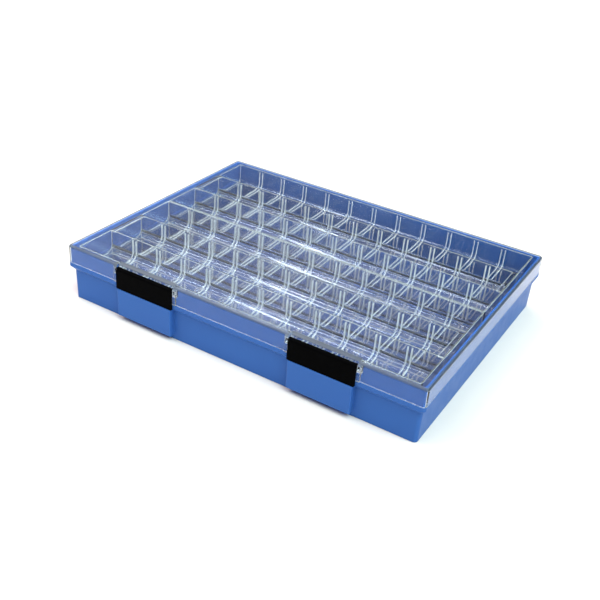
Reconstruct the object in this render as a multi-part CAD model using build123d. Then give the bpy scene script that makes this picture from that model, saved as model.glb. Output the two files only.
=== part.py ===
from build123d import *
import math
import os

# Parts case: a blue base, a clear lid hinged at the back, two black latches at the
# front and clear slotted trays stacked in layers inside.
# Millimetres. X runs along the case, -Y is the front and Z is up.
# The origin is the centre of the underside.

# Plan of the case
case_length = 436.0       # lid skirt and base rim, left to right
case_depth = 323.4        # lid skirt and base rim, front to back
rim_corner = 4.0          # plan radius of the skirt and of the rim under it
body_corner = 4.5         # plan radius of the lower body
cavity_corner = 3.5       # plan radius of the space for the trays
wall_corner = 3.0         # plan radius inside the wall above the ledge
cut_over = 1.0            # cuts carried on past the surface that they open

# Base
base_floor = 2.5
base_wall = 2.2
rim_reach = 4.0           # rim face beyond the lower body
rim_face = 4.5            # height of the upright rim face
rim_slope = 5.0           # height of the slope under the rim face
body_lean = 0.5           # lower body drawn in from the rim down to the foot
foot_round = 1.0          # round along the bottom edge
wall_top_gap = 0.5        # top of the base wall below the lid plate

# Lid
lid_plate = 2.0
lid_skirt = 2.0
skirt_height = 21.2
skirt_lean = 0.4          # skirt drawn in from its lower edge up to the plate
lid_edge = 3.0            # round along the top edge
skirt_gap = 0.8           # skirt to the base wall inside it
parting_gap = 0.3         # skirt to the rim under it

# Trays
tray_rows = 3
tray_columns = 12
tray_layers = 2
cell_depth = 26.6
tray_floor = 1.6
tray_foot = 2.7           # walls carried on below the floor, to stand on
tray_wall = 1.5           # wall thickness at the rim
wall_foot = 2.3           # wall thickness at the floor
cell_round = 10.0         # hollow between a wall and the floor
rib_width = 1.0
rib_depth = 1.0
rib_root = 0.5            # ribs carried on into the walls and the floor
rib_slot = 3.6            # between the two ribs that would hold a divider
rib_drop = 3.0            # rib ends below the rim
grip_reach = 5.0          # finger ledge at each end of the middle row
grip_thick = 1.6
tray_gap = 0.5            # tray to the front or back wall of the base
tray_end_gap = 3.5        # tray to the end walls of the base, finger room
tray_between = 0.6        # tray to its neighbour in the same layer
tray_head = 0.7           # upper tray rims below the lid plate

# Latches
latch_width = 75.2
latch_centre = 108.6      # middle of a latch from the middle of the case
barrel_radius = 3.2
barrel_gap = 0.5          # barrel to the pocket in the lid
pivot_drop = 6.4          # pivot below the top of the lid
pivot_inset = 0.8         # pivot behind the skirt face
plate_gap = 0.3           # latch plate to the skirt face
latch_lip = 1.9           # latch carried on below the catch edge
hook_gap = 0.2            # hook to the catch edge
hook_thick = 1.2
hook_reach = 1.3          # hook behind the rim face
latch_side_gap = 0.35     # latch to each cheek
stub_radius = 1.1         # moulded pivot stub at each end of a latch
stub_length = 2.8
stub_gap = 0.08           # radial, stub in its hole
latch_round = 1.2         # round at the lower corners of a latch

# Pocket in the lid for each latch
cheek_thick = 4.0         # lug that carries the stub
cheek_proud = 1.3         # lug beyond the skirt face
pocket_wall = 1.8
hood_reach = 7.7          # bevel over the latch starts this far behind the skirt face
hood_drop = 2.4           # bevel ends this far below the top of the lid
hood_sag = 0.4            # thicker plate under the bevel
notch_gap = 0.8           # base wall cut clear of the pocket

# Pad under each latch
pad_side = 1.4            # pad short of each end of the latch
pad_proud = 3.2           # pad face beyond the rim face at its top
pad_lean = 0.4            # pad face drawn in from its top down to its foot
pad_foot = 5.6            # underside of the pad above the foot of the base
pad_round = 1.5
pad_gap = 0.4             # pad top below the latch
catch_depth = 2.2         # groove that takes the hook
catch_side = 0.6          # groove beyond each end of the hook

# Hinges
hinge_centre = 108.9
knuckle_radius = 3.2
hinge_gap = 0.3           # knuckles to the rim and skirt faces
hinge_drop = 1.8          # hinge axis below the skirt edge
outer_knuckle = 12.0      # each of the two base knuckles of a hinge
inner_knuckle = 25.0      # the lid knuckle between them
knuckle_gap = 0.4
pin_radius = 1.5
pin_end = 1.0             # pin ends inside the outer knuckles
pin_chamfer = 0.3
fixed_fit = 0.02          # radial, pin in the base knuckles
running_fit = 0.07        # radial, pin in the lid knuckle
bracket_rise = 6.0        # lid knuckle's bracket up the skirt
bracket_angle = 45.0      # where the bracket meets the knuckle, degrees up from the back

# Heights
tray_height = tray_foot + tray_floor + cell_depth
lid_under = base_floor + tray_layers * tray_height + tray_head
case_height = lid_under + lid_plate
parting_z = case_height - skirt_height
rim_top = parting_z - parting_gap
catch_z = rim_top - rim_face
slope_z = catch_z - rim_slope
ledge_z = catch_z - rim_slope / 2
wall_top = lid_under - wall_top_gap

# Plan places
front = -case_depth / 2
back = case_depth / 2
wall_inset = lid_skirt + skirt_gap
cavity_inset = rim_reach + body_lean + base_wall
cavity_length = case_length - 2 * cavity_inset
cavity_depth = case_depth - 2 * cavity_inset

tray_length = cavity_length - 2 * tray_end_gap
tray_depth = (cavity_depth - 2 * tray_gap - tray_between) / 2
row_pitch = (tray_depth - tray_wall) / tray_rows
column_pitch = (tray_length - tray_wall) / tray_columns
tray_corner = cavity_corner - tray_gap
cell_floor = tray_foot + tray_floor

pivot_y = front + pivot_inset
pivot_z = case_height - pivot_drop
latch_face = pivot_y - barrel_radius
latch_back = front - plate_gap
latch_bottom = catch_z - latch_lip
hook_top = catch_z - hook_gap
pocket_half = latch_width / 2 + latch_side_gap
pocket_outer = pocket_half + cheek_thick
pocket_back = pivot_y + barrel_radius + barrel_gap
pocket_inner = pocket_back + pocket_wall
pocket_floor = pivot_z - barrel_radius - barrel_gap
pocket_under = pocket_floor - lid_skirt

pad_top = latch_bottom - pad_gap
pad_half = latch_width / 2 - pad_side
catch_half = latch_width / 2 - latch_round + catch_side

hinge_y = back + hinge_gap + knuckle_radius
hinge_z = parting_z - hinge_drop
hinge_half = inner_knuckle / 2 + knuckle_gap + outer_knuckle


def plan(inset, corner, z):
    """Rounded outline of the case drawn in by inset, at height z."""
    outline = RectangleRounded(case_length - 2 * inset, case_depth - 2 * inset, corner)
    return Pos(0, 0, z) * outline


def block(x0, x1, y0, y1, z0, z1):
    """Box between two opposite corners."""
    size = Box(x1 - x0, y1 - y0, z1 - z0, align=(Align.MIN, Align.MIN, Align.MIN))
    return Pos(x0, y0, z0) * size


def bar(x0, x1, outline):
    """Outline in the Y-Z plane carried along X from x0 to x1."""
    return Pos(x0, 0, 0) * extrude(Plane.YZ * outline, x1 - x0, dir=(1, 0, 0))


def yz_polygon(*points):
    """Polygon with its corners given as (y, z)."""
    return Polygon(*points, align=None)


def yz_rectangle(y0, y1, z0, z1):
    """Rectangle in the Y-Z plane."""
    return yz_polygon((y0, z0), (y1, z0), (y1, z1), (y0, z1))


def rod(x0, x1, y, z, radius):
    """Cylinder along X."""
    return bar(x0, x1, Pos(y, z) * Circle(radius))


def pad(side):
    """Solid pad under a latch, ending above the foot of the base."""
    middle = side * latch_centre
    root = front + cavity_inset
    outline = yz_polygon(
        (root, pad_foot),
        (front - pad_proud + pad_lean, pad_foot),
        (front - pad_proud, pad_top),
        (root, pad_top),
    )
    body = bar(middle - pad_half, middle + pad_half, outline)
    face = body.faces().sort_by(Axis.Y)[0]
    corners = face.edges().sort_by(Axis.Z)[:-1]
    return fillet(corners, pad_round)


def pad_hollow(side):
    """Space behind the pad face, open to the inside of the case."""
    middle = side * latch_centre
    half = pad_half - base_wall
    outline = yz_polygon(
        (front + cavity_inset + base_wall, pad_foot + base_wall),
        (front - pad_proud + pad_lean + base_wall, pad_foot + base_wall),
        (front - pad_proud + base_wall, pad_top - base_wall),
        (front + cavity_inset + base_wall, pad_top - base_wall),
    )
    return bar(middle - half, middle + half, outline)


def catch_groove(side):
    """Groove between the pad and the rim face that takes the latch hook."""
    middle = side * latch_centre
    outline = yz_rectangle(front - rim_reach, front + catch_depth, pad_top, catch_z)
    return bar(middle - catch_half, middle + catch_half, outline)


def wall_notch(side):
    """Cut in the front wall that clears the latch pocket of the lid."""
    middle = side * latch_centre
    half = pocket_outer + notch_gap
    outline = yz_rectangle(front, front + cavity_inset, pocket_under - notch_gap, case_height)
    return bar(middle - half, middle + half, outline)


def base_knuckles(side):
    """The two outer knuckles of one hinge, on webs from the rim."""
    middle = side * hinge_centre
    web = yz_polygon(
        (back - rim_reach / 2, catch_z),
        (hinge_y, hinge_z - knuckle_radius),
        (hinge_y, hinge_z),
        (back + hinge_gap, rim_top),
        (back - rim_reach / 2, rim_top),
    )
    knuckles = []
    for end in (-1, 1):
        inner = middle + end * (hinge_half - outer_knuckle)
        outer = middle + end * hinge_half
        x0 = min(inner, outer)
        x1 = max(inner, outer)
        knuckle = rod(x0, x1, hinge_y, hinge_z, knuckle_radius) + bar(x0, x1, web)
        bore = rod(x0, x1, hinge_y, hinge_z, pin_radius + fixed_fit)
        knuckles.append(knuckle - bore)
    return knuckles


def make_base():
    """Blue tub: leaning lower body, rim, wall inside the lid skirt, pads and hinge knuckles."""
    lower = loft([plan(rim_reach + body_lean, body_corner, 0), plan(rim_reach, body_corner, slope_z)])
    lower = fillet(lower.faces().sort_by(Axis.Z)[0].edges(), foot_round)
    slope = loft([plan(rim_reach, body_corner, slope_z), plan(0, rim_corner, catch_z)])
    face = extrude(plan(0, rim_corner, catch_z), rim_face)
    wall = extrude(plan(wall_inset, rim_corner - wall_inset, rim_top), wall_top - rim_top)
    body = lower + slope + face + wall
    for side in (-1, 1):
        body += pad(side)
    cavity = RectangleRounded(cavity_length, cavity_depth, cavity_corner)
    body -= Pos(0, 0, base_floor) * extrude(cavity, case_height)
    body -= extrude(plan(wall_inset + base_wall, wall_corner, ledge_z), case_height)
    for side in (-1, 1):
        body -= pad_hollow(side)
        body -= catch_groove(side)
        body -= wall_notch(side)
        body += base_knuckles(side)
    return body


def lid_pocket(side, envelope):
    """Clear walls of one latch pocket and the two lugs at its ends."""
    middle = side * latch_centre
    walls = yz_polygon(
        (front - lid_skirt, pocket_under),
        (pocket_inner, pocket_under),
        (pocket_inner, lid_under - hood_sag),
        (front + hood_reach, lid_under),
        (front + hood_reach, case_height + cut_over),
        (front - lid_skirt, case_height + cut_over),
    )
    pocket = bar(middle - pocket_outer, middle + pocket_outer, walls) & envelope
    lug = yz_polygon(
        (front - cheek_proud, parting_z),
        (front + lid_skirt, parting_z),
        (front + lid_skirt, pivot_z + barrel_radius + cheek_proud),
        (front, pivot_z + barrel_radius + cheek_proud),
        (front - cheek_proud, pivot_z + barrel_radius),
    )
    for end in (-1, 1):
        x0 = middle + min(end * pocket_half, end * pocket_outer)
        pocket += bar(x0, x0 + cheek_thick, lug)
    return pocket


def pocket_void(side):
    """Space for the latch barrel, open to the front and the top, with a bevel behind it."""
    middle = side * latch_centre
    void = yz_polygon(
        (front - barrel_radius, pocket_floor),
        (pocket_back, pocket_floor),
        (pocket_back, case_height - hood_drop),
        (front + hood_reach, case_height),
        (front + hood_reach, case_height + cut_over),
        (front - barrel_radius, case_height + cut_over),
    )
    half = pocket_half + stub_length + stub_gap
    holes = rod(middle - half, middle + half, pivot_y, pivot_z, stub_radius + stub_gap)
    return bar(middle - pocket_half, middle + pocket_half, void) + holes


def lid_knuckle(side):
    """Middle knuckle of one hinge, on a bracket from the foot of the skirt."""
    middle = side * hinge_centre
    half = inner_knuckle / 2
    rise = math.radians(bracket_angle)
    bracket = yz_polygon(
        (back - lid_skirt / 2, parting_z),
        (back + hinge_gap, parting_z),
        (hinge_y, hinge_z),
        (hinge_y + knuckle_radius * math.cos(rise), hinge_z + knuckle_radius * math.sin(rise)),
        (back, parting_z + bracket_rise),
        (back - lid_skirt / 2, parting_z + bracket_rise),
    )
    knuckle = rod(middle - half, middle + half, hinge_y, hinge_z, knuckle_radius)
    knuckle += bar(middle - half, middle + half, bracket)
    return knuckle - rod(middle - half, middle + half, hinge_y, hinge_z, pin_radius + running_fit)


def make_lid():
    """Clear lid: plate and skirt, two latch pockets at the front, two knuckles at the back."""
    envelope = loft([
        plan(0, rim_corner, parting_z),
        plan(skirt_lean, rim_corner - skirt_lean, case_height),
    ])
    envelope = fillet(envelope.faces().sort_by(Axis.Z)[-1].edges(), lid_edge)
    inside = loft([
        plan(lid_skirt, rim_corner - lid_skirt, parting_z),
        plan(lid_skirt + skirt_lean, rim_corner - lid_skirt - skirt_lean, lid_under),
    ])
    lid = envelope - inside
    for side in (-1, 1):
        lid += lid_pocket(side, envelope)
        lid -= pocket_void(side)
        lid += lid_knuckle(side)
    return lid


def make_latch(side):
    """Latch: barrel with a stub at each end, a plate down the front and a hook at its foot."""
    middle = side * latch_centre
    x0 = middle - latch_width / 2
    x1 = middle + latch_width / 2
    plate = bar(x0, x1, yz_rectangle(latch_face, latch_back, latch_bottom, pivot_z))
    corners = plate.edges().filter_by(Axis.Y).group_by(Axis.Z)[0]
    plate = fillet(corners, latch_round)
    hook = yz_rectangle(latch_face + plate_gap, front + hook_reach, hook_top - hook_thick, hook_top)
    latch = plate + rod(x0, x1, pivot_y, pivot_z, barrel_radius)
    latch += bar(x0 + latch_round, x1 - latch_round, hook)
    latch += rod(x0 - stub_length, x1 + stub_length, pivot_y, pivot_z, stub_radius)
    return latch


def make_pin(side):
    """Steel pin of one hinge."""
    middle = side * hinge_centre
    half = hinge_half - pin_end
    pin = rod(middle - half, middle + half, hinge_y, hinge_z, pin_radius)
    return chamfer(pin.edges(), pin_chamfer)


def row_outline(middle, inset, radius):
    """Section of one tray row, drawn in by inset, with hollows of the given radius."""
    foot = (row_pitch - wall_foot) / 2 - inset
    head = (row_pitch - tray_wall) / 2 - inset
    outline = yz_polygon(
        (middle - foot, cell_floor + inset),
        (middle + foot, cell_floor + inset),
        (middle + head, tray_height),
        (middle - head, tray_height),
    )
    corners = outline.vertices().group_by(Axis.Y)[0]
    return fillet(corners, radius)


def tray_section():
    """Section of a tray: troughs of even thickness between walls that stand on their feet."""
    limits = yz_rectangle(-tray_depth / 2, tray_depth / 2, 0, tray_height)
    solid = Sketch()
    for row in range(tray_rows):
        middle = (row - (tray_rows - 1) / 2) * row_pitch
        solid += row_outline(middle, -tray_floor, cell_round + tray_floor)
    for wall in range(tray_rows + 1):
        middle = (wall - tray_rows / 2) * row_pitch
        solid += yz_rectangle(middle - tray_wall / 2, middle + tray_wall / 2, 0, tray_height)
    solid = solid & limits
    for row in range(tray_rows):
        middle = (row - (tray_rows - 1) / 2) * row_pitch
        solid -= row_outline(middle, 0, cell_round)
    return solid


def rib_section():
    """Section of the ribs of every row, rooted in the walls and the floor."""
    below = yz_rectangle(-tray_depth / 2, tray_depth / 2, 0, tray_height - rib_drop)
    ribs = Sketch()
    for row in range(tray_rows):
        middle = (row - (tray_rows - 1) / 2) * row_pitch
        root = row_outline(middle, -rib_root, cell_round + rib_root)
        ribs += root - row_outline(middle, rib_depth, cell_round - rib_depth)
    return ribs & below


def make_tray():
    """Clear tray, centred in plan and standing on Z = 0."""
    half = tray_length / 2
    body = bar(-half, half, tray_section())
    ends = yz_rectangle(-tray_depth / 2, tray_depth / 2, 0, tray_height)
    parts = [bar(-half, -half + tray_wall, ends), bar(half - tray_wall, half, ends)]
    ribs = rib_section()
    for column in range(1, tray_columns):
        middle = (column - tray_columns / 2) * column_pitch
        for x0 in (middle - rib_slot / 2 - rib_width, middle + rib_slot / 2):
            parts.append(bar(x0, x0 + rib_width, ribs))
    y = row_pitch / 2
    z0 = tray_height - grip_thick
    parts.append(block(-half, -half + tray_wall + grip_reach, -y, y, z0, tray_height))
    parts.append(block(half - tray_wall - grip_reach, half, -y, y, z0, tray_height))
    body = body + parts
    return body & extrude(RectangleRounded(tray_length, tray_depth, tray_corner), tray_height)


def save(shape, name):
    """Write one node to its own file."""
    export_step(shape, "parts/" + name + ".step")


os.makedirs("parts", exist_ok=True)
save(make_base(), "base")
save(make_lid(), "lid")
for side, word in ((-1, "left"), (1, "right")):
    save(make_latch(side), "latch_" + word)
    save(make_pin(side), "hinge_pin_" + word)
tray = make_tray()
for layer, level in ((0, "lower"), (1, "upper")):
    for side, word in ((-1, "front"), (1, "back")):
        y = side * (tray_depth + tray_between) / 2
        z = base_floor + layer * tray_height
        save(Pos(0, y, z) * tray, "tray_" + level + "_" + word)
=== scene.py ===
import bpy
import math
from mathutils import Matrix, Vector


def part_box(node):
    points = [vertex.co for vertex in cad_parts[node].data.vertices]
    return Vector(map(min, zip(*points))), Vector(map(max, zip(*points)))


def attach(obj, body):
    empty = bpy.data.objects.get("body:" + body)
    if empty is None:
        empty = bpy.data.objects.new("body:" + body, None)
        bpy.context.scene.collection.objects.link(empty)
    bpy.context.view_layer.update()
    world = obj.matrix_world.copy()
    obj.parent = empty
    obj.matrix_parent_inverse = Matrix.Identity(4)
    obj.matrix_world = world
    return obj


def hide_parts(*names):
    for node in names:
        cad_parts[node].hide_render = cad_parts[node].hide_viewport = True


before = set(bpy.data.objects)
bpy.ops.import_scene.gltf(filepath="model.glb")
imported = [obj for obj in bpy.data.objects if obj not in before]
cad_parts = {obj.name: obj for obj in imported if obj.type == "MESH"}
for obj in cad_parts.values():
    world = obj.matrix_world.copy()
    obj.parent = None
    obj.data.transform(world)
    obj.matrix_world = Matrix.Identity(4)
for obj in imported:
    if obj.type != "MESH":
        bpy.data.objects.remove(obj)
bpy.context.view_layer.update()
MM = 0.001

# Camera, as the photograph was taken, with angles in degrees and the lens and sensor in millimetres
TARGET = Vector((18.7, -52.9, 33.5)) * MM
AZIMUTH = 29.26
ELEVATION = 31.08
ROLL = 4.82
DISTANCE = 953.8 * MM
LENS = 52.226
SENSOR = 36.0
NEAREST = 10 * MM

# Colours as they look, in sRGB
BLUE = "#3762AC"
BLUE_CLOUD = "#3A68B2"
BLACK = "#020203"
BLACK_WORN = "#050506"
CLEAR_LID = "#E2EAF1"
CLEAR_TRAY = "#F9F6F6"
LID_SHADE = "#F2F3F3"
TRAY_SHADE = "#E2E4E6"
# White rounds on the clear mouldings: partly frost, partly a painted highlight
EDGE_FROST_AND_PAINTED_HIGHLIGHT = "#FCFCFC"
# Painted shade and reflection on the lid's curved top edge and the foot of its skirt
ROUND_PAINTED_SHADE = "#566880"
LID_SHINE = "#C0C4D0"
TRAY_SHINE = "#FFFFFF"
STEEL = "#B4B6BA"
STEEL_DARK = "#8E9095"
FLOOR = "#EFE6E4"
FLOOR_SHADE = "#ECE3E1"

# Small rounds that the moulds leave along the edges
TUB_ROUND = 0.35 * MM
LID_ROUND = 0.3 * MM
LATCH_ROUND = 0.35 * MM
TRAY_ROUND = 0.22 * MM
SMOOTH_UP_TO = math.radians(50)
CORNER_FROM = math.radians(35)

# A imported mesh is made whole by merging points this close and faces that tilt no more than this
MERGE_WITHIN = 0.002 * MM
FLAT_WITHIN = math.radians(1.0)

# The bent edge of the lid, down from its plate, and the foot of its skirt, which take the painted shade
LID_EDGE_DEPTH = 3.3 * MM
SKIRT_FOOT = 45.8 * MM
FOOT_WITHIN = 0.1 * MM

# A face is tilted while its normal rises between the first two, and faces down below the third
TILTED_FROM = 0.1
TILTED_TO = 0.985
FACING_DOWN = -0.9

# Clear polystyrene bends light by the first. The thin lid mirrors less, so it has a lower one
TRAY_IOR = 1.59
LID_IOR = 1.42

# Studio: places and sizes in metres, colours as linear light
FLOOR_SIZE = 60.0
GLOW_TOWARDS = Vector((-0.45, 0.1, 0.88)).normalized()
SKY_COLOUR = (1.0, 0.92, 0.91, 1.0)
BACKDROP = 1.15
STRIP_LENGTH = 1.8
STRIP_COLOUR = (1.0, 0.96, 0.94)
OVERHEAD_PLACE = (-0.65, 0.15, 1.5)
OVERHEAD_WIDTH = 0.11
OVERHEAD_POWER = 10.3
FRONT_PLACE = (-0.65, -1.1, 1.3)
FRONT_WIDTH = 0.12
FRONT_POWER = 8.0
SCRIM_TOWARDS = (0.52, -0.14, 0.84)
SCRIM_SPREAD = math.radians(50)
SCRIM_STRENGTH = 3.7
SCRIM_COLOUR = (0.8, 1.0, 0.94)


def linear(colour):
    """Linear red, green, blue and alpha of an sRGB hex colour."""
    parts = [int(colour[i:i + 2], 16) / 255 for i in (1, 3, 5)]
    return [p / 12.92 if p <= 0.04045 else ((p + 0.055) / 1.055) ** 2.4 for p in parts] + [1.0]


def node(tree, kind, inputs=None, **settings):
    """Add a node with its settings and the values or links of its inputs."""
    made = tree.nodes.new(kind)
    for name, value in settings.items():
        setattr(made, name, value)
    for name, value in (inputs or {}).items():
        socket = made.inputs[name]
        if isinstance(value, bpy.types.NodeSocket):
            tree.links.new(value, socket)
        else:
            socket.default_value = value
    return made


def material(name):
    """Empty material with its node tree and output."""
    made = bpy.data.materials.new(name)
    made.use_nodes = True
    made.node_tree.nodes.clear()
    return made, made.node_tree, made.node_tree.nodes.new("ShaderNodeOutputMaterial")


def grain(tree, size, detail=2.0, stretch=1.0):
    """Noise on Object coordinates, with its features about size metres across and drawn out along X."""
    place = node(tree, "ShaderNodeTexCoord").outputs["Object"]
    if stretch != 1.0:
        scale = Vector((1 / stretch, 1.0, 1.0))
        place = node(tree, "ShaderNodeMapping", {"Vector": place, "Scale": scale}).outputs["Vector"]
    noise = node(tree, "ShaderNodeTexNoise", {"Vector": place, "Scale": 1 / size, "Detail": detail})
    return noise.outputs["Fac"]


def between(tree, amount, low, high):
    """Noise stretched so that its usual middle range runs from low to high."""
    return node(tree, "ShaderNodeMapRange", {
        "Value": amount,
        "From Min": 0.35,
        "From Max": 0.65,
        "To Min": low,
        "To Max": high,
    }).outputs["Result"]


def blend(tree, amount, first, second):
    """Colour between two sRGB hex colours. The mix keeps its colours in sockets 6, 7 and 2."""
    mix = node(tree, "ShaderNodeMix", {0: amount, 6: linear(first), 7: linear(second)}, data_type="RGBA")
    return mix.outputs[2]


def polypropylene():
    """Blue moulded polypropylene. Seen: an even satin blue, a shade cloudier in places where the
    melt cooled slower, with the fine pits of a spark-eroded mould, drawn larger than real so that
    they show, and slightly uneven gloss. The IOR is below the plastic's own, because hardly any
    haze of the pale floor shows on the real sides."""
    made, tree, out = material("moulded_polypropylene")
    bump = node(tree, "ShaderNodeBump", {
        "Height": grain(tree, 0.5 * MM),
        "Strength": 0.12,
        "Distance": 0.04 * MM,
    })
    surface = node(tree, "ShaderNodeBsdfPrincipled", {
        "Base Color": blend(tree, grain(tree, 45 * MM), BLUE, BLUE_CLOUD),
        "Roughness": between(tree, grain(tree, 12 * MM), 0.30, 0.38),
        "IOR": 1.18,
        "Normal": bump.outputs["Normal"],
    })
    tree.links.new(surface.outputs["BSDF"], out.inputs["Surface"])
    return made


def polystyrene(name, colour, ior, shine, shade):
    """Clear moulded polystyrene. Seen: hard gloss and crisp edges, with the faint long waves that a
    thin clear moulding keeps and a breath of handling haze. It lets the lamps through."""
    made, tree, out = material(name)
    waves = node(tree, "ShaderNodeBump", {
        "Height": grain(tree, 40 * MM, detail=0.0, stretch=8.0),
        "Strength": 0.02,
        "Distance": 0.06 * MM,
    })
    surface = node(tree, "ShaderNodeBsdfPrincipled", {
        "Base Color": linear(colour),
        "Specular Tint": linear(shine),
        "Roughness": between(tree, grain(tree, 3 * MM), 0.015, 0.04),
        "IOR": ior,
        "Transmission Weight": 1.0,
        "Normal": waves.outputs["Normal"],
    })
    let_lamps_through(tree, surface, out, shade)
    return made


def polystyrene_painted_edges(name, colour, rough, clarity, shade):
    """The small rounds along the edges of a clear moulding. Seen: fine white lines, because the
    rounds of a mould are never polished as well as its flats and they scatter the light; the white
    colour is also a painted highlight. In dark grey-blue it is painted shade and reflection instead."""
    made, tree, out = material(name)
    surface = node(tree, "ShaderNodeBsdfPrincipled", {
        "Base Color": linear(colour),
        "Roughness": between(tree, grain(tree, 8 * MM), rough, rough + 0.04),
        "IOR": TRAY_IOR,
        "Transmission Weight": clarity,
    })
    let_lamps_through(tree, surface, out, shade)
    return made


def let_lamps_through(tree, surface, out, shade):
    """Send shadow rays straight through a clear surface, a little weaker for each wall they cross."""
    through = node(tree, "ShaderNodeBsdfTransparent", {"Color": linear(shade)})
    path = node(tree, "ShaderNodeLightPath")
    mix = node(tree, "ShaderNodeMixShader", {0: path.outputs["Is Shadow Ray"]})
    tree.links.new(surface.outputs["BSDF"], mix.inputs[1])
    tree.links.new(through.outputs["BSDF"], mix.inputs[2])
    tree.links.new(mix.outputs["Shader"], out.inputs["Surface"])


def abs_plastic():
    """Black moulded ABS. Seen: a deep even black with a dull satin face from an etched mould, whose
    grain is drawn larger than real so that it shows."""
    made, tree, out = material("moulded_abs")
    bump = node(tree, "ShaderNodeBump", {
        "Height": grain(tree, 0.35 * MM),
        "Strength": 0.25,
        "Distance": 0.03 * MM,
    })
    surface = node(tree, "ShaderNodeBsdfPrincipled", {
        "Base Color": blend(tree, grain(tree, 9 * MM), BLACK, BLACK_WORN),
        "Roughness": between(tree, grain(tree, 4 * MM), 0.45, 0.6),
        "IOR": 1.53,
        "Specular IOR Level": 0.01,
        "Normal": bump.outputs["Normal"],
    })
    tree.links.new(surface.outputs["BSDF"], out.inputs["Surface"])
    return made


def drawn_steel():
    """Steel wire of the hinge pins. Seen: bright metal with fine lengthwise drawing lines."""
    made, tree, out = material("drawn_steel")
    lines = grain(tree, 0.2 * MM, detail=3.0, stretch=50.0)
    bump = node(tree, "ShaderNodeBump", {"Height": lines, "Strength": 0.3, "Distance": 0.01 * MM})
    surface = node(tree, "ShaderNodeBsdfPrincipled", {
        "Base Color": blend(tree, lines, STEEL, STEEL_DARK),
        "Roughness": between(tree, lines, 0.2, 0.35),
        "Metallic": 1.0,
        "Normal": bump.outputs["Normal"],
    })
    tree.links.new(surface.outputs["BSDF"], out.inputs["Surface"])
    return made


def white_paper():
    """Studio paper under the case. Seen: plain matt white with a faint fibre grain, drawn coarser
    than real. Its warm tint takes back the cool tint of the side light."""
    made, tree, out = material("white_paper")
    bump = node(tree, "ShaderNodeBump", {
        "Height": grain(tree, 1.2 * MM, detail=3.0),
        "Strength": 0.1,
        "Distance": 0.05 * MM,
    })
    surface = node(tree, "ShaderNodeBsdfPrincipled", {
        "Base Color": blend(tree, grain(tree, 30 * MM), FLOOR, FLOOR_SHADE),
        "Roughness": 0.9,
        "Specular IOR Level": 0.2,
        "Normal": bump.outputs["Normal"],
    })
    tree.links.new(surface.outputs["BSDF"], out.inputs["Surface"])
    return made


def dress(name, finish):
    """Give a carried-over node its finish."""
    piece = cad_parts[name]
    piece.data.materials.clear()
    piece.data.materials.append(finish)


def moulding(node_name, name, body, finishes, edge, split=False):
    """Moulded piece on the shape of a node, with the small rounds that a mould leaves on every edge.
    A second finish, where there is one, goes on the rounds. Split cuts up its comb-shaped faces."""
    bpy.ops.object.select_all(action="DESELECT")
    piece = bpy.data.objects.new(name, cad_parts[node_name].data.copy())
    bpy.context.scene.collection.objects.link(piece)
    bpy.context.view_layer.objects.active = piece
    piece.select_set(True)
    piece.data.materials.clear()
    for finish in finishes:
        piece.data.materials.append(finish)
    bpy.ops.object.mode_set(mode="EDIT")
    bpy.ops.mesh.select_all(action="SELECT")
    bpy.ops.mesh.remove_doubles(threshold=MERGE_WITHIN)
    bpy.ops.mesh.dissolve_limited(angle_limit=FLAT_WITHIN, use_dissolve_boundaries=False)
    if split:
        bpy.ops.mesh.vert_connect_concave()
    bpy.ops.object.mode_set(mode="OBJECT")
    bevel = piece.modifiers.new("edges", "BEVEL")
    bevel.width = edge
    bevel.segments = 2
    bevel.limit_method = "ANGLE"
    bevel.angle_limit = CORNER_FROM
    bevel.use_clamp_overlap = False
    bevel.material = len(finishes) - 1
    bpy.ops.object.modifier_apply(modifier=bevel.name)
    bpy.ops.object.shade_smooth_by_angle(angle=SMOOTH_UP_TO)
    even = piece.modifiers.new("flats", "WEIGHTED_NORMAL")
    even.keep_sharp = True
    bpy.ops.object.modifier_apply(modifier=even.name)
    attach(piece, body)
    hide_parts(node_name)
    return piece


def finish_rounds(piece, finish, above, foot):
    """Give the tilted faces of a piece above a height, and its flat foot, a finish of their own."""
    piece.data.materials.append(finish)
    for face in piece.data.polygons:
        tilted = face.center.z > above and TILTED_FROM < face.normal.z < TILTED_TO
        under = abs(face.center.z - foot) < FOOT_WITHIN and face.normal.z < FACING_DOWN
        if tilted or under:
            face.material_index = len(piece.data.materials) - 1


def place_camera():
    """Camera at the angle of the photograph, looking at the middle of its frame."""
    azimuth = math.radians(AZIMUTH)
    elevation = math.radians(ELEVATION)
    back = Vector((
        math.sin(azimuth) * math.cos(elevation),
        -math.cos(azimuth) * math.cos(elevation),
        math.sin(elevation),
    ))
    data = bpy.data.cameras.new("camera")
    data.lens = LENS
    data.sensor_width = SENSOR
    data.clip_start = NEAREST
    camera = bpy.data.objects.new("camera", data)
    place = Matrix.Translation(TARGET + back * DISTANCE)
    turn = back.to_track_quat("Z", "Y").to_matrix().to_4x4()
    camera.matrix_world = place @ turn @ Matrix.Rotation(math.radians(ROLL), 4, "Z")
    bpy.context.scene.collection.objects.link(camera)
    bpy.context.scene.camera = camera


def strip_light(name, place, width, power):
    """Long narrow soft light that hangs at a place and shines on the middle of the case."""
    data = bpy.data.lights.new(name, "AREA")
    data.shape = "RECTANGLE"
    data.size = STRIP_LENGTH
    data.size_y = width
    data.energy = power
    data.color = STRIP_COLOUR
    lamp = bpy.data.objects.new(name, data)
    lamp.location = place
    lamp.rotation_euler = Vector(place).to_track_quat("Z", "Y").to_euler()
    bpy.context.scene.collection.objects.link(lamp)


def scrim(name, towards, spread, strength, colour):
    """Large even light from one side, as through a hung cloth, too dull to mirror in the lid."""
    data = bpy.data.lights.new(name, "SUN")
    data.angle = spread
    data.energy = strength
    data.color = colour
    lamp = bpy.data.objects.new(name, data)
    lamp.rotation_euler = Vector(towards).to_track_quat("Z", "Y").to_euler()
    lamp.visible_glossy = False
    bpy.context.scene.collection.objects.link(lamp)


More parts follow.
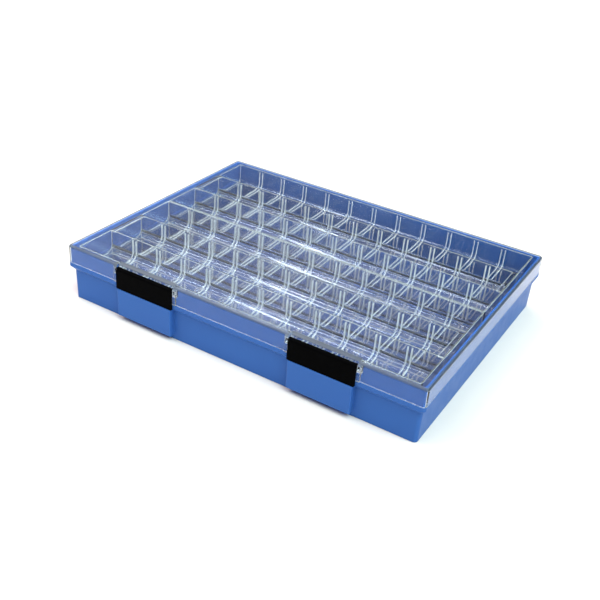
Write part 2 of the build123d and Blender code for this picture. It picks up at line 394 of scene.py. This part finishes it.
def lay_floor():
    """Sheet of pale paper that the case stands on."""
    bpy.ops.object.select_all(action="DESELECT")
    bpy.ops.mesh.primitive_plane_add(size=FLOOR_SIZE, location=(0, 0, 0))
    floor = bpy.context.object
    floor.name = "floor"
    floor.data.materials.append(white_paper())


def hang_sky():
    """Soft glow up on the left and a dark room below it, which the flat lid mirrors. Looked at
    straight on, or low down through a clear wall, the room is a white backdrop."""
    world = bpy.data.worlds.new("studio")
    bpy.context.scene.world = world
    world.use_nodes = True
    tree = world.node_tree
    tree.nodes.clear()
    direction = node(tree, "ShaderNodeTexCoord").outputs["Generated"]
    glow = node(tree, "ShaderNodeVectorMath", {0: direction, 1: GLOW_TOWARDS},
                operation="DOT_PRODUCT").outputs["Value"]
    spread = node(tree, "ShaderNodeMapRange", {
        "Value": glow,
        "From Min": 0.56,
        "From Max": 0.88,
        "To Min": 0.05,
        "To Max": 1.1,
    }, interpolation_type="SMOOTHSTEP").outputs["Result"]
    height = node(tree, "ShaderNodeSeparateXYZ", {0: direction}).outputs["Z"]
    low = node(tree, "ShaderNodeMapRange", {
        "Value": height,
        "From Min": 0.3,
        "From Max": 0.2,
    }).outputs["Result"]
    path = node(tree, "ShaderNodeLightPath")
    through = node(tree, "ShaderNodeMath", {0: path.outputs["Is Transmission Ray"], 1: low},
                   operation="MULTIPLY").outputs["Value"]
    seen = node(tree, "ShaderNodeMath", {0: path.outputs["Is Camera Ray"], 1: through},
                operation="MAXIMUM").outputs["Value"]
    strength = node(tree, "ShaderNodeMath", {0: seen, 1: BACKDROP, 2: spread},
                    operation="MULTIPLY_ADD").outputs["Value"]
    sky = node(tree, "ShaderNodeBackground", {"Color": SKY_COLOUR, "Strength": strength})
    node(tree, "ShaderNodeOutputWorld", {"Surface": sky.outputs["Background"]})


place_camera()
lay_floor()
hang_sky()
strip_light("overhead", OVERHEAD_PLACE, OVERHEAD_WIDTH, OVERHEAD_POWER)
strip_light("front", FRONT_PLACE, FRONT_WIDTH, FRONT_POWER)
scrim("right", SCRIM_TOWARDS, SCRIM_SPREAD, SCRIM_STRENGTH, SCRIM_COLOUR)

blue = polypropylene()
# The clear lid, whose white rounds are partly a painted highlight
clear_lid = [
    polystyrene("lid_polystyrene", CLEAR_LID, LID_IOR, LID_SHINE, LID_SHADE),
    polystyrene_painted_edges("lid_edges_frost_and_painted_highlight", EDGE_FROST_AND_PAINTED_HIGHLIGHT, rough=0.24, clarity=0.75, shade=LID_SHADE),
]
# Painted shade and reflection: grey-blue on the lid's curved top edge and the foot of its skirt
lid_rounds_painted_shade = polystyrene_painted_edges("lid_rounds_painted_shade", ROUND_PAINTED_SHADE, rough=0.32, clarity=0.72, shade=LID_SHADE)
# The clear trays, whose white rounds are partly a painted highlight
clear_tray = [
    polystyrene("tray_polystyrene", CLEAR_TRAY, TRAY_IOR, TRAY_SHINE, TRAY_SHADE),
    polystyrene_painted_edges("tray_edges_frost_and_painted_highlight", EDGE_FROST_AND_PAINTED_HIGHLIGHT, rough=0.24, clarity=0.1, shade=TRAY_SHADE),
]
black = abs_plastic()
steel = drawn_steel()

moulding("base", "tub", "base", [blue], TUB_ROUND)
lid = moulding("lid", "clear_lid", "lid", clear_lid, LID_ROUND)
plate_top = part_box("lid")[1][2]
# The painted shade finish goes on the lid's curved top edge and its skirt foot
finish_rounds(lid, lid_rounds_painted_shade, plate_top - LID_EDGE_DEPTH, SKIRT_FOOT)
for side in ("left", "right"):
    moulding("latch_" + side, "black_latch_" + side, "latch_" + side, [black], LATCH_ROUND)
    dress("hinge_pin_" + side, steel)
for layer in ("lower", "upper"):
    for side in ("front", "back"):
        name = "tray_%s_%s" % (layer, side)
        moulding(name, "clear_" + name, "base", clear_tray, TRAY_ROUND, split=True)

# Enough bounces for light to cross the lid and two layers of trays, and come back
scene = bpy.context.scene
scene.view_settings.view_transform = "Standard"
scene.cycles.max_bounces = 32
scene.cycles.transmission_bounces = 32
scene.cycles.transparent_max_bounces = 64
